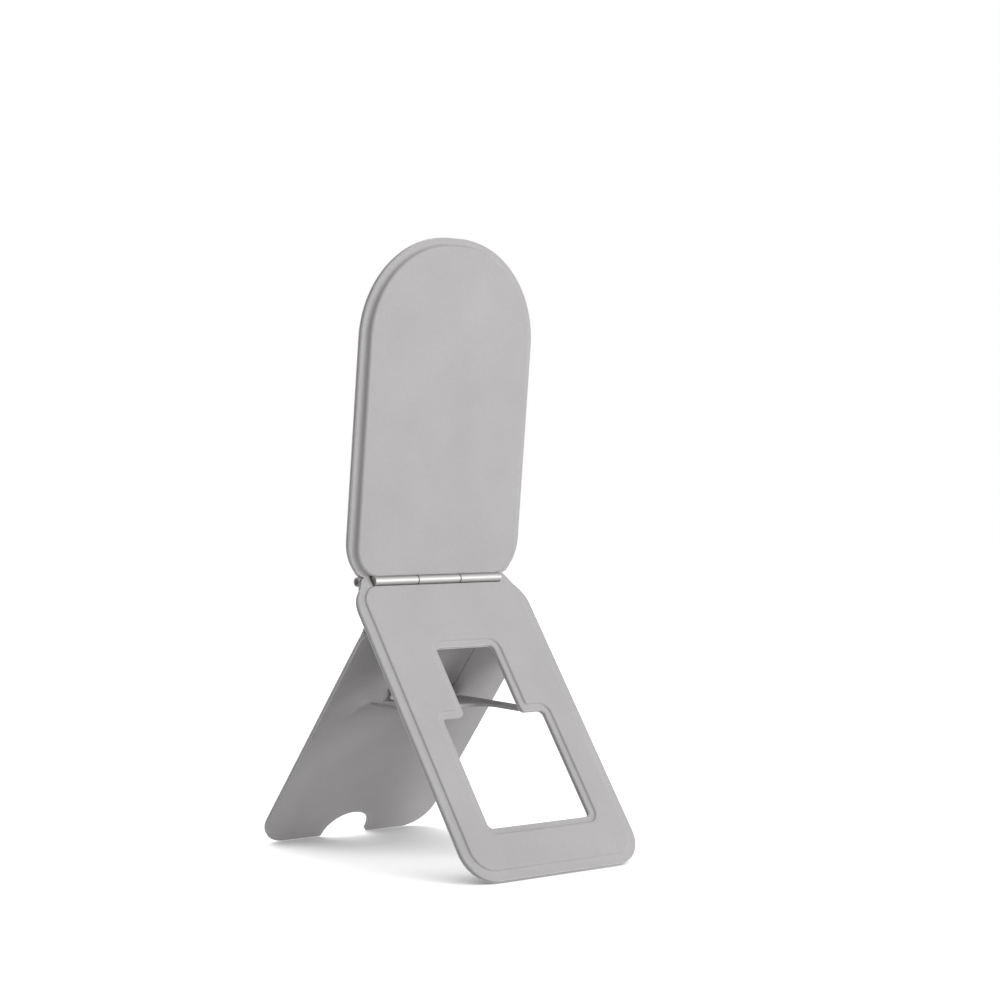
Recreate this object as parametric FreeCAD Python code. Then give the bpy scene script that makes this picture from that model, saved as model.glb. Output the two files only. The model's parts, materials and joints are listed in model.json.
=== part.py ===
import FreeCAD, Part
import math
import os

# A folding magnetic stand. A covered head with a ring of magnets turns on a barrel hinge at the top of an
# A-frame. The rear leg folds off the inner face of the front leg, and a strut keeps the two legs apart.
# Each panel is modelled flat in its own frame: X across it, Y along it from its pivot, Z through it.

Vector = FreeCAD.Vector

# Stance, in degrees
head_lean = 5.9
front_leg_lean = 34.9
rear_leg_lean = 39.0
strut_slope = 2.3

# Panels, in millimetres
crown_rise = 3.9
crown_flat = 4.0
foot_bar = 15.4
foot_radius = 9.5
neck_step = 3.8
shoulder_radius = 9.5
skin = 0.8
flange = 3.0
groove_width = 0.5
groove_depth = 0.3
head_core = 1.7
leg_core = 0.5
head_edge_chamfer = 0.7
leg_edge_chamfer = 0.35
hinge_margin = 2.0
shoulder_inset_radius = 5.5
fold_corner_radius = 3.0

# Inverted-T window of the front leg
narrow_width = 21.4
wide_width = 37.6
window_top = 22.6
window_ledge = 45.2
window_radius = 2.0
window_margin = 1.8

# Thumb notch in the rear foot
notch_width = 16.8
notch_depth = 9.1
notch_radius = 8.3
notch_lip = 0.7

# Barrel hinge
knuckle_radius = 1.4
pin_radius = 0.65
pin_clearance = 0.03
leaf_thickness = 0.35
leaf_length = 13.0
leaf_margin = 0.4
knuckle_gap = 0.15
pin_setback = 0.2
slot_gap = 0.2
web_width = 4.4
knuckle_clearance = 0.35
leaf_gap = 0.35
neck_gap = 0.25
closed_gap = 0.15
hinge_skin_gap = 0.35

# Magnets of the head
magnet_height = 63.3
ring_outer_radius = 27.6
ring_width = 4.6
ring_segments = 16
ring_opening = 30.0
segment_gap = 1.0
shield_thickness = 0.3
carrier_floor = 0.3
carrier_rim = 0.6
align_width = 6.0
align_length = 12.0
align_gap = 2.6

# Folds of the legs and the strut
fold_position = 15.8
fold_gap = 0.3
fold_setback = 0.6
flap_top = 6.0
flap_inset = 1.2
flap_gap = 0.4
strap_thickness = 1.2
strap_end_clearance = 1.0
strap_clearance = 0.45
strap_gap = 0.3

# Strut
strut_skin = 0.3
strut_core = 0.5
strut_clearance = 1.1
strut_end_clearance = 1.8
ledge_clearance = 0.6
strut_corner_radius = 1.5
prong_width = 5.3
strut_cut_depth = 15.0
strut_cut_radius = 4.0
strut_margin = 1.3
strut_magnet_length = 6.0
catch_width = 8.0
catch_length = 8.0
catch_gap = 0.4
seat_clearance = 0.1

# Sizes that follow
half_width = ring_outer_radius + carrier_rim + skin + flange
panel_width = 2 * half_width
neck_width = panel_width - 2 * neck_step
barrel_length = neck_width - 2 * (slot_gap + web_width)
ring_inner_radius = ring_outer_radius - ring_width
head_length = magnet_height + half_width + crown_rise
head_top_radius = half_width - crown_flat / 2
strut_thickness = 2 * strut_skin + strut_core
leaf_offset = knuckle_radius - leaf_thickness / 2
leg_face = knuckle_radius - skin
head_face = head_core + leg_core + closed_gap - leg_face
leg_inner_face = leg_face + 2 * skin
knuckle_length = (barrel_length - 2 * knuckle_gap) / 3
slot_half = barrel_length / 2 + slot_gap
slot_depth = knuckle_radius + 2 * slot_gap
leaf_half = barrel_length / 2 - leaf_margin
strut_half = wide_width / 2 - strut_clearance
strut_cut_half = strut_half - prong_width
strap_half = narrow_width / 2 - strap_clearance
strap_top = window_top - fold_position + strap_end_clearance

head_angle = 90 + head_lean
front_angle = 270 - front_leg_lean
rear_angle = 270 + rear_leg_lean
strut_angle = 180 + strut_slope


def turned(angle, along, through):
    """World Y and Z of a point of a panel that is turned about X by an angle."""
    c = math.cos(math.radians(angle))
    s = math.sin(math.radians(angle))
    return along * c - through * s, along * s + through * c


# The strut's root clears the rear leg when open, and the ledge of the window when closed
strut_top = fold_gap / 2 + strut_thickness
root_angle = math.radians(180 - rear_angle + strut_angle)
strut_setback = (strut_top * math.cos(root_angle) - fold_gap / 2 + strap_gap) / math.sin(root_angle)
strut_root = window_ledge - fold_position + ledge_clearance - strut_setback

# The strut ends just behind the wings of the front leg, and lies in the window when closed
opening = math.radians(rear_angle - front_angle)
strut_dip = math.radians(front_angle - strut_angle)
root_height = fold_gap / 2 + strut_root * math.sin(opening)
tip_drop = strut_top * math.cos(strut_dip)
strut_length = (root_height - tip_drop - strap_gap) / math.sin(strut_dip)
window_low = fold_position + strut_root + strut_length + strut_end_clearance
front_leg_length = window_low + foot_bar

# The feet stand on Z = 0, and Y = 0 is midway between their outer edges
hinge_z = -turned(front_angle, front_leg_length, leg_inner_face)[1]
fold_offset = turned(front_angle, fold_position, leg_inner_face + fold_gap / 2)
fold_z = hinge_z + fold_offset[1]
inner_edge_rise = turned(rear_angle, 0, fold_gap / 2)[1]
rear_leg_length = (fold_z + inner_edge_rise) / math.cos(math.radians(rear_leg_lean))
front_reach = turned(front_angle, front_leg_length, leg_face)[0]
rear_reach = fold_offset[0] + turned(rear_angle, rear_leg_length, fold_gap / 2 + 2 * skin)[0]
hinge_y = -(front_reach + rear_reach) / 2
fold_y = hinge_y + fold_offset[0]
root_offset = turned(rear_angle, strut_root, 0)
root_y = fold_y + root_offset[0]
root_z = fold_z + root_offset[1]


def frame(angle, y, z):
    """Placement of a panel: turned about X, with its pivot at y and z."""
    return FreeCAD.Placement(Vector(0, y, z), FreeCAD.Rotation(Vector(1, 0, 0), angle))


head_frame = frame(head_angle, hinge_y, hinge_z)
front_frame = frame(front_angle, hinge_y, hinge_z)
rear_frame = frame(rear_angle, fold_y, fold_z)
strut_frame = frame(strut_angle, root_y, root_z)


def rounded_face(corners):
    """Flat face from corners (x, y, radius), with a tangent arc at each corner that has a radius."""
    edges = []
    joints = []
    count = len(corners)
    for i, (x, y, radius) in enumerate(corners):
        here = Vector(x, y, 0)
        before = Vector(*corners[i - 1][:2], 0) - here
        after = Vector(*corners[(i + 1) % count][:2], 0) - here
        before.normalize()
        after.normalize()
        if radius <= 0:
            joints.append((here, None, here))
            continue
        half = before.getAngle(after) / 2
        reach = radius / math.tan(half)
        middle = before + after
        middle.normalize()
        centre = here + middle * (radius / math.sin(half))
        joints.append((here + before * reach, centre - middle * radius, here + after * reach))
    for i, (start, middle, end) in enumerate(joints):
        if middle is not None:
            edges.append(Part.Arc(start, middle, end).toShape())
        following = joints[(i + 1) % count][0]
        if end.distanceToPoint(following) > 1e-6:
            edges.append(Part.LineSegment(end, following).toShape())
    return Part.Face(Part.Wire(edges))


def both_sides(right):
    """Closed outline from its right half, listed from one end of the panel to the other."""
    return right + [(-x, y, radius) for x, y, radius in reversed(right)]


def slab(face, low, high):
    """Plate between two heights."""
    return face.translated(Vector(0, 0, low)).extrude(Vector(0, 0, high - low))


def block(x_half, y_low, y_high, z_low, z_high):
    """Box that is centred across the panel."""
    size = (2 * x_half, y_high - y_low, z_high - z_low)
    return Part.makeBox(*size, Vector(-x_half, y_low, z_low))


def side_blocks(x_low, x_high, y_low, y_high, z_low, z_high):
    """A pair of equal boxes, one on each side of the panel."""
    size = (x_high - x_low, y_high - y_low, z_high - z_low)
    left = Part.makeBox(*size, Vector(-x_high, y_low, z_low))
    right = Part.makeBox(*size, Vector(x_low, y_low, z_low))
    return [left, right]


def edges_at(shape, height):
    """Edges that lie at a height."""
    return [e for e in shape.Edges if abs(e.BoundBox.ZMin - height) + abs(e.BoundBox.ZMax - height) < 1e-4]


def panel_face(grow, near, far, near_radius, far_radius):
    """Plain panel outline, widened all round by grow."""
    side = half_width + grow
    return rounded_face(both_sides([
        (side, near - grow, max(near_radius + grow, 0)),
        (side, far + grow, max(far_radius + grow, 0)),
    ]))


def necked_face(far, far_radius):
    """Panel outline whose shoulders run into the narrow neck at the hinge."""
    side_step = (panel_width - neck_width) / 2
    rise = math.sqrt(shoulder_radius ** 2 - (shoulder_radius - side_step) ** 2)
    near = neck_gap + rise - shoulder_radius
    return panel_face(0, near, far, shoulder_radius, far_radius)


def necked_slab(far, far_radius, low, high):
    """Panel plate that stops at the hinge line."""
    plate = slab(necked_face(far, far_radius), low, high)
    return plate.cut(block(half_width, -shoulder_radius, neck_gap, low, high))


def slotted_slab(far, far_radius, low, high):
    """Panel plate that stops at the hinge line, with a slot for the barrel."""
    return necked_slab(far, far_radius, low, high).cut(block(slot_half, 0, slot_depth, low, high))


def window_face(grow):
    """Inverted-T window, widened all round by grow."""
    narrow = narrow_width / 2 + grow
    wide = wide_width / 2 + grow
    outer = window_radius + grow
    inner = max(window_radius - grow, 2 * leg_edge_chamfer)
    return rounded_face(both_sides([
        (narrow, window_top - grow, outer),
        (narrow, window_ledge - grow, inner),
        (wide, window_ledge - grow, outer),
        (wide, window_low + grow, outer),
    ]))


def rear_face(grow):
    """Rear leg outline with the thumb notch in its foot, widened all round by grow."""
    side = half_width + grow
    notch = notch_width / 2 - grow
    foot = rear_leg_length + grow
    lip = max(notch_lip + grow, 2 * leg_edge_chamfer)
    arch = min(notch_radius - grow, notch_depth - lip)
    return rounded_face(both_sides([
        (side, fold_setback - grow, fold_corner_radius),
        (side, foot, foot_radius + grow),
        (notch, foot, lip),
        (notch, foot - notch_depth, arch),
    ]))


def head_plateau(grow, low, high):
    """Raised back of the head, widened all round by grow."""
    face = panel_face(grow - flange, hinge_margin - flange, head_length, shoulder_inset_radius + flange,
                      head_top_radius)
    return slab(face, low, high)


def front_plateau(grow, low, high):
    """Raised face of the front leg round its window, widened all round by grow."""
    face = panel_face(grow - flange, hinge_margin - flange, front_leg_length, shoulder_inset_radius + flange,
                      foot_radius)
    plate = slab(face, low, high)
    return plate.cut(slab(window_face(window_margin - grow), low, high))


def rear_plateau(grow, low, high):
    """Raised back of the rear leg, widened all round by grow."""
    return slab(rear_face(grow - flange), low, high)


def strut_face(grow):
    """Strut outline with two prongs at its free end, widened all round by grow."""
    side = strut_half + grow
    cut = strut_cut_half - grow
    corner = max(strut_corner_radius + grow, 0)
    return rounded_face(both_sides([
        (side, strut_setback - grow, corner),
        (side, strut_length + grow, corner),
        (cut, strut_length + grow, corner),
        (cut, strut_length - strut_cut_depth + grow, strut_cut_radius - grow),
    ]))


def head_back_skin():
    """Formed skin with the raised back, a groove at its foot, and slits for the hinge leaf."""
    low = -head_face - skin
    top = -head_face + head_core
    raised = head_plateau(0, low, top)
    raised = raised.makeChamfer(head_edge_chamfer, edges_at(raised, top))
    shell = slotted_slab(head_length, head_top_radius, low, -head_face)
    groove = head_plateau(groove_width, -head_face - groove_depth, -head_face)
    shell = shell.cut(groove).fuse(raised)
    shell = shell.cut(head_plateau(-skin, low, top - skin))
    slit_low = -leaf_offset - leaf_thickness / 2 - seat_clearance
    slit = block(leaf_half + seat_clearance, 0, hinge_margin + 2 * skin, slit_low, slit_low + leaf_thickness
                 + 2 * seat_clearance)
    return shell.cut(slit)


def head_front_skin():
    """Flat skin that the held thing rests on."""
    return necked_slab(head_length, head_top_radius, -head_face - 2 * skin, -head_face - skin)


carrier_low = -head_face - skin
carrier_high = carrier_low + head_core
shield_high = carrier_high - carrier_floor
magnet_high = shield_high - shield_thickness
align_high = magnet_height - ring_outer_radius - align_gap
align_low = align_high - align_length


def ring(inner, outer, low, high):
    """Flat ring about the middle of the magnets."""
    centre = Vector(0, magnet_height, low)
    return Part.makeCylinder(outer, high - low, centre).cut(Part.makeCylinder(inner, high - low, centre))


def magnet_carrier():
    """Plate in the head with recesses for the magnets and a mortise for the hinge leaf."""
    plate = head_plateau(-skin - seat_clearance, carrier_low, carrier_high)
    recess = ring(ring_inner_radius - seat_clearance, ring_outer_radius + seat_clearance, carrier_low, shield_high)
    bar = block(align_width / 2 + seat_clearance, align_low - seat_clearance, align_high + seat_clearance,
                carrier_low, shield_high)
    leaf_low = -leaf_offset - leaf_thickness / 2
    mortise = block(leaf_half + seat_clearance, 0, leaf_length + seat_clearance, leaf_low - seat_clearance,
                    leaf_low + leaf_thickness + seat_clearance)
    return plate.cut(recess).cut(bar).cut(mortise)


def magnet_ring():
    """Arc magnets side by side, with an opening in the ring towards the hinge."""
    pitch = (360 - ring_opening) / ring_segments
    whole = magnet_high - carrier_low
    segments = []
    for i in range(ring_segments):
        start = -90 + ring_opening / 2 + i * pitch + segment_gap / 2
        centre = Vector(0, magnet_height, carrier_low)
        sweep = pitch - segment_gap
        outer = Part.makeCylinder(ring_outer_radius, whole, centre, Vector(0, 0, 1), sweep)
        inner = Part.makeCylinder(ring_inner_radius, whole, centre, Vector(0, 0, 1), sweep)
        segments.append(outer.cut(inner).rotated(centre, Vector(0, 0, 1), start))
    return Part.makeCompound(segments)


def knuckle(x_low, x_high):
    """One tube of the barrel."""
    start = Vector(x_low, 0, 0)
    tube = Part.makeCylinder(knuckle_radius, x_high - x_low, start, Vector(1, 0, 0))
    return tube.cut(Part.makeCylinder(pin_radius + pin_clearance, x_high - x_low, start, Vector(1, 0, 0)))


def leaf_plate(side, root_low, root_high):
    """Leaf on one side of the axis, which reaches the axis only from root_low to root_high, mirrored."""
    low = side * leaf_offset - leaf_thickness / 2
    plate = block(leaf_half, knuckle_radius + leaf_gap, leaf_length, low, low + leaf_thickness)
    if root_low > 0:
        roots = side_blocks(root_low, root_high, 0, leaf_length, low, low + leaf_thickness)
    else:
        roots = [block(root_high, 0, leaf_length, low, low + leaf_thickness)]
    for root in roots:
        plate = plate.fuse(root)
    bore = Part.makeCylinder(pin_radius + pin_clearance, barrel_length, Vector(-barrel_length / 2, 0, 0),
                             Vector(1, 0, 0))
    return plate.cut(bore)


def head_hinge_leaf():
    """Leaf in the head with the two outer knuckles."""
    inner = knuckle_length / 2 + knuckle_gap
    outer = barrel_length / 2
    leaf = leaf_plate(-1, inner, leaf_half)
    return leaf.fuse(knuckle(-outer, -inner)).fuse(knuckle(inner, outer))


def leg_hinge_leaf():
    """Leaf in the front leg with the middle knuckle."""
    half = knuckle_length / 2
    return leaf_plate(1, 0, half).fuse(knuckle(-half, half))


def hinge_pin():
    """Pin with chamfered ends through all three knuckles."""
    length = barrel_length - 2 * pin_setback
    pin = Part.makeCylinder(pin_radius, length, Vector(-length / 2, 0, 0), Vector(1, 0, 0))
    return pin.makeChamfer(pin_radius / 4, [e for e in pin.Edges if e.Closed])


def hinge_skin():
    """Skin that rolls round the far side of the barrel, from the leg up to the head."""
    inner = knuckle_radius + hinge_skin_gap
    outer = inner + skin
    overlap = math.degrees(math.asin((neck_gap - seat_clearance) / inner))
    start = front_angle + 90 - overlap
    end = head_angle + 270 + overlap
    angles = (start, (start + end) / 2, end)
    rims = []
    for radius in (inner, outer):
        rims.append([Vector(-neck_width / 2, *turned(angle, radius, 0)) for angle in angles])
    edges = [
        Part.Arc(*rims[0]).toShape(),
        Part.LineSegment(rims[0][2], rims[1][2]).toShape(),
        Part.Arc(*rims[1]).toShape(),
        Part.LineSegment(rims[1][0], rims[0][0]).toShape(),
    ]
    return Part.Face(Part.Wire(Part.__sortEdges__(edges))).extrude(Vector(neck_width, 0, 0))


def front_leg_outer_skin():
    """Formed skin of the front leg with its window, raised face and groove."""
    inside = leg_face + skin
    top = leg_face - leg_core
    raised = front_plateau(0, top, inside)
    raised = raised.makeChamfer(leg_edge_chamfer, edges_at(raised, top))
    shell = slotted_slab(front_leg_length, foot_radius, leg_face, inside)
    shell = shell.cut(slab(window_face(0), leg_face, inside))
    groove = front_plateau(groove_width, leg_face, leg_face + groove_depth)
    shell = shell.cut(groove).fuse(raised)
    shell = shell.cut(front_plateau(-skin, inside - leg_core, inside))
    bed = block(leaf_half + seat_clearance, 0, leaf_length + seat_clearance,
                leaf_offset - leaf_thickness / 2 - seat_clearance, inside)
    return shell.cut(bed)


def front_leg_inner_skin():
    """Flat skin of the front leg with its window, which runs up to the barrel."""
    low = leg_face + skin
    plate = necked_slab(front_leg_length, foot_radius, low, leg_inner_face)
    plate = plate.cut(slab(window_face(0), low, leg_inner_face))
    swept = Part.makeCylinder(knuckle_radius + knuckle_clearance, 2 * slot_half, Vector(-slot_half, 0, 0),
                              Vector(1, 0, 0))
    return plate.cut(swept)


board_low = leg_face + skin - leg_core
catch_in = narrow_width / 2 + window_margin + skin + catch_gap
catch_high = window_ledge - window_margin - skin - catch_gap


def catch_blocks(grow):
    """The places of the two steel plates behind the wings, widened all round by grow."""
    return side_blocks(catch_in - grow, catch_in + catch_width + grow, catch_high - catch_length - grow,
                       catch_high + grow, board_low, board_low + leg_core)


def front_leg_board():
    """Stiffener of the front leg, notched for the hinge leaf and the catch plates."""
    board = front_plateau(-skin - seat_clearance, board_low, board_low + leg_core)
    board = board.cut(block(leaf_half + seat_clearance, 0, leaf_length + seat_clearance, board_low,
                            board_low + leg_core))
    for seat in catch_blocks(seat_clearance):
        board = board.cut(seat)
    return board


def fold_flap():
    """End of the rear leg's skin, bonded to the front leg above the fold."""
    top_corner = turned(rear_angle - front_angle, fold_setback, fold_gap / 2 + 2 * skin)[0]
    low_edge = fold_position + top_corner - flap_gap
    side = half_width - flap_inset
    face = rounded_face(both_sides([(side, flap_top, fold_corner_radius), (side, low_edge, 0)]))
    return slab(face, leg_inner_face, leg_inner_face + skin)


rear_inner = fold_gap / 2
rear_seam = rear_inner + skin


def rear_leg_inner_skin():
    """Flat skin that faces the front leg."""
    return slab(rear_face(0), rear_inner, rear_seam)


def rear_leg_outer_skin():
    """Formed skin on the back of the rear leg."""
    flat = rear_seam + skin
    top = flat + leg_core
    raised = rear_plateau(0, rear_seam, top)
    raised = raised.makeChamfer(leg_edge_chamfer, edges_at(raised, top))
    shell = slab(rear_face(0), rear_seam, flat)
    shell = shell.cut(rear_plateau(groove_width, flat - groove_depth, flat)).fuse(raised)
    return shell.cut(rear_plateau(-skin, rear_seam, rear_seam + leg_core))


def rear_leg_board():
    """Stiffener of the rear leg."""
    return rear_plateau(-skin - seat_clearance, rear_seam, rear_seam + leg_core)


def strut_strap():
    """Strap above the strut's root, which lies in the narrow window when the legs are closed."""
    steep = math.radians(rear_angle - strut_angle - 90)
    reach = (strut_top + strap_gap + (strap_thickness - fold_gap / 2) * math.sin(steep)) / math.cos(steep)
    low_edge = strut_root - reach
    strap = block(strap_half, strap_top, low_edge, rear_inner - strap_thickness, rear_inner)
    upright = [e for e in strap.Edges if e.BoundBox.ZLength > strap_thickness / 2 and e.CenterOfMass.y < low_edge
               - strap_thickness]
    return strap.makeFillet(window_radius, upright)


strut_high = -fold_gap / 2
strut_seam = strut_high - strut_skin
strut_low = strut_high - strut_thickness


def strut_pocket(grow, low, high):
    """Space between the strut's skins, widened all round by grow."""
    return slab(strut_face(grow - strut_margin), low, high)


def strut_upper_skin():
    """Skin that wraps the top and the rim of the strut."""
    shell = slab(strut_face(0), strut_low, strut_seam)
    return shell.cut(strut_pocket(0, strut_low + strut_skin, strut_seam))


def strut_lower_skin():
    """Thin skin under the strut."""
    return slab(strut_face(0), strut_seam, strut_high)


magnet_low_edge = strut_length - strut_margin - strut_magnet_length - strut_corner_radius


def strut_magnets():
    """One bar magnet in each prong."""
    inner = strut_cut_half + strut_margin + seat_clearance
    outer = strut_half - strut_margin - seat_clearance
    bars = side_blocks(inner, outer, magnet_low_edge, magnet_low_edge + strut_magnet_length,
                       strut_low + strut_skin, strut_seam)
    return Part.makeCompound(bars)


def strut_board():
    """Stiffener of the strut, which stops short of the magnets."""
    board = strut_pocket(-seat_clearance, strut_low + strut_skin, strut_seam)
    return board.cut(block(half_width, magnet_low_edge - seat_clearance, strut_length, strut_low, strut_high))


def write(name, shape, placement):
    """Put a piece in its place and save it."""
    whole = shape.removeSplitter() if len(shape.Solids) == 1 else shape
    solid = whole.Solids[0] if len(whole.Solids) == 1 else whole
    placed = solid.copy()
    placed.Placement = placement.multiply(placed.Placement)
    placed.exportStep("parts/" + name + ".step")
    print(name, len(placed.Solids), placed.isValid(), round(placed.Volume, 2))


os.makedirs("parts", exist_ok=True)

write("head_back_skin", head_back_skin(), head_frame)
write("head_front_skin", head_front_skin(), head_frame)
write("magnet_carrier", magnet_carrier(), head_frame)
write("magnet_ring", magnet_ring(), head_frame)
shield = ring(ring_inner_radius, ring_outer_radius, magnet_high, shield_high)
write("shield_ring", shield, head_frame)
align_bar = block(align_width / 2, align_low, align_high, carrier_low, shield_high)
write("alignment_magnet", align_bar, head_frame)
write("head_hinge_leaf", head_hinge_leaf(), head_frame)
write("hinge_pin", hinge_pin(), head_frame)
write("hinge_skin", hinge_skin(), frame(0, hinge_y, hinge_z))
write("leg_hinge_leaf", leg_hinge_leaf(), front_frame)
write("front_leg_outer_skin", front_leg_outer_skin(), front_frame)
write("front_leg_inner_skin", front_leg_inner_skin(), front_frame)
write("front_leg_board", front_leg_board(), front_frame)
write("catch_plates", Part.makeCompound(catch_blocks(0)), front_frame)
write("fold_flap", fold_flap(), front_frame)
write("rear_leg_inner_skin", rear_leg_inner_skin(), rear_frame)
write("rear_leg_outer_skin", rear_leg_outer_skin(), rear_frame)
write("rear_leg_board", rear_leg_board(), rear_frame)
write("strut_strap", strut_strap(), rear_frame)
write("strut_upper_skin", strut_upper_skin(), strut_frame)
write("strut_lower_skin", strut_lower_skin(), strut_frame)
write("strut_board", strut_board(), strut_frame)
write("strut_magnets", strut_magnets(), strut_frame)
print("hinge axis", hinge_y, hinge_z)
print("leg fold axis", fold_y, fold_z, "closes by", rear_angle - front_angle)
print("strut axis", root_y, root_z, "closes by", rear_angle - strut_angle)
print("rear leg", rear_leg_length, "strut", strut_length)
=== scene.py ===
"""Looks of a folding magnetic stand: soft covers, folds and a small studio, round the fixed CAD frame."""

import json
import logging
import math
from collections.abc import Callable, Iterator
from contextlib import contextmanager
from dataclasses import dataclass, field
from enum import Enum

import bmesh
import bpy
from mathutils import Matrix, Vector


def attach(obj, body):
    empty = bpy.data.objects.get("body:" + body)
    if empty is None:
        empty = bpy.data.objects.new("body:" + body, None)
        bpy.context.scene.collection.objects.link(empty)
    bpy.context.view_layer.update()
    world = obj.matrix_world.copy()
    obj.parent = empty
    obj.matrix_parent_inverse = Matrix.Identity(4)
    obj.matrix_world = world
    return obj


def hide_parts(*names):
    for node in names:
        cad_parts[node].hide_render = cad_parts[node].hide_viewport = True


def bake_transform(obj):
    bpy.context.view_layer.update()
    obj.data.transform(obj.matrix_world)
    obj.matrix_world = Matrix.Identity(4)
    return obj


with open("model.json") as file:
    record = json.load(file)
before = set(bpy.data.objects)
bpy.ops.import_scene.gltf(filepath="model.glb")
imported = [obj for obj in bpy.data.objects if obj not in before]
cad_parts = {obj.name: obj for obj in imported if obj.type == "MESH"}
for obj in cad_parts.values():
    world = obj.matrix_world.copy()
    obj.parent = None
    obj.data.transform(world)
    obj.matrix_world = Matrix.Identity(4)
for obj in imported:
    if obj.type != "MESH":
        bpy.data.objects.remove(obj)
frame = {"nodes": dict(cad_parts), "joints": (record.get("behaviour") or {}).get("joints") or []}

log = logging.getLogger("stand")

MM = 0.001
SAME_PLACE = 1e-7
SAME_HEIGHT = 1e-6
SHARP_EDGE = math.radians(50)
SMOOTH_EDGE = math.radians(40)
WALL_TILT = 0.7

Corner = tuple[float, float, float]
Point = tuple[float, float]
Span = tuple[float, float]
Place = tuple[float, float, float]
Colour = tuple[float, float, float, float]
Wave = tuple[float, float, float, float]
Test = Callable[[Vector], bool]
Outline = Callable[[float], list[Corner]]
Window = Callable[[float, float], list[Corner]]
Piece = bpy.types.Object
Node = bpy.types.Node
Socket = bpy.types.NodeSocket
Inputs = dict[str | int, object]


class Joining(Enum):
    """How a second body changes the first."""

    CUT = "DIFFERENCE"
    FUSE = "UNION"


class Body(Enum):
    """Rigid bodies of the frame."""

    HEAD = "head"
    FRONT_LEG = "front_leg"
    REAR_LEG = "rear_leg"
    STRUT = "strut"


class Slot(Enum):
    """Name that the record gives the covers' material slot; nothing here uses it."""

    SKIN = "panel_skin"


# Modelling by hand


def pick(obj: Piece) -> None:
    """Select one object alone and make it active.

    Args:
        obj: The object.
    """
    bpy.ops.object.select_all(action="DESELECT")
    obj.select_set(True)
    bpy.context.view_layer.objects.active = obj


def named(name: str) -> Piece:
    """Name the body that was just added, and hand it over."""
    bpy.context.object.name = name
    return bpy.context.object


@contextmanager
def editing(obj: Piece, kind: str) -> Iterator[None]:
    """Edit mode on one object.

    Args:
        obj: The object to edit.
        kind: What is selected: VERT, EDGE or FACE.
    """
    pick(obj)
    bpy.ops.object.mode_set(mode="EDIT")
    bpy.ops.mesh.select_mode(type=kind)
    yield
    bpy.ops.object.mode_set(mode="OBJECT")


def apply_step(obj: Piece, kind: str, **settings: object) -> None:
    """Add a modifier to an object and apply it.

    Args:
        obj: The object.
        kind: Kind of modifier.
        settings: Its settings by name.
    """
    pick(obj)
    step = obj.modifiers.new(kind, kind)
    for name, value in settings.items():
        setattr(step, name, value)
    bpy.ops.object.modifier_apply(modifier=step.name)


def select_vertices(obj: Piece, wanted: Test) -> None:
    """Select the vertices that pass a test of their place, in edit mode.

    Args:
        obj: The object in edit mode.
        wanted: Test of a vertex's place.
    """
    mesh = bmesh.from_edit_mesh(obj.data)
    for vertex in mesh.verts:
        vertex.select_set(wanted(vertex.co))
    mesh.select_flush_mode()
    bmesh.update_edit_mesh(obj.data)


def select_faces(obj: Piece, wanted: Test) -> None:
    """Select the faces whose corners all pass a test of their place, in edit mode.

    Args:
        obj: The object in edit mode.
        wanted: Test of a corner's place.
    """
    bpy.ops.mesh.select_all(action="DESELECT")
    mesh = bmesh.from_edit_mesh(obj.data)
    for face in mesh.faces:
        face.select_set(all(wanted(corner.co) for corner in face.verts))
    bmesh.update_edit_mesh(obj.data)


def face_outwards() -> None:
    """Turn all faces outwards, in edit mode."""
    bpy.ops.mesh.select_all(action="SELECT")
    bpy.ops.mesh.normals_make_consistent(inside=False)


def bevel(radius: float, steps: int, kind: str) -> None:
    """Round the selected VERTICES or EDGES in edit mode, with a radius in millimetres."""
    bpy.ops.mesh.bevel(offset_type="OFFSET", offset=radius * MM, segments=steps, profile=0.5, affect=kind,
                       clamp_overlap=False)


def mirrored(right: list[Corner]) -> list[Corner]:
    """Closed outline from its right half, listed from the near end to the far end."""
    return right + [(-x, y, radius) for x, y, radius in reversed(right)]


def corner_steps(radius: float, least: int = 5, most: int = 36, per_mm: float = 1.1) -> int:
    """Number of facets in a rounded corner of a radius in millimetres."""
    return max(least, min(most, round(least - 1 + per_mm * radius)))


def sheet(name: str, corners: list[Corner]) -> Piece:
    """Flat face with rounded corners.

    Args:
        name: Name of the new object.
        corners: Corners as x, y and radius in millimetres.

    Returns:
        The new object, in the plane Z = 0.
    """
    bpy.ops.mesh.primitive_circle_add(vertices=len(corners), radius=MM, fill_type="NGON")
    obj = named(name)
    for vertex, (x, y, _) in zip(obj.data.vertices, corners):
        vertex.co = (x * MM, y * MM, 0)
    with editing(obj, "VERT"):
        for radius in sorted({r for _, _, r in corners if r > 0}):
            places = [Vector((x * MM, y * MM, 0)) for x, y, r in corners if r == radius]
            select_vertices(obj, lambda co: any((co - place).length < SAME_PLACE for place in places))
            bevel(radius, corner_steps(radius), "VERTICES")
    return obj


def prism(name: str, corners: list[Corner], low: float, high: float) -> Piece:
    """Plate of an outline between two heights, in millimetres.

    Args:
        name: Name of the new object.
        corners: Corners as x, y and radius.
        low: Height of its underside.
        high: Height of its top.

    Returns:
        The new closed object.
    """
    obj = sheet(name, corners)
    with editing(obj, "FACE"):
        bpy.ops.mesh.select_all(action="SELECT")
        bpy.ops.transform.translate(value=(0, 0, low * MM))
        bpy.ops.mesh.extrude_region_move(TRANSFORM_OT_translate={"value": (0, 0, (high - low) * MM)})
        face_outwards()
    return obj


def combine(obj: Piece, tool: Piece, how: Joining) -> None:
    """Cut or fuse a second body, which is used up."""
    apply_step(obj, "BOOLEAN", object=tool, operation=how.value, solver="EXACT")
    bpy.data.objects.remove(tool, do_unlink=True)


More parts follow.
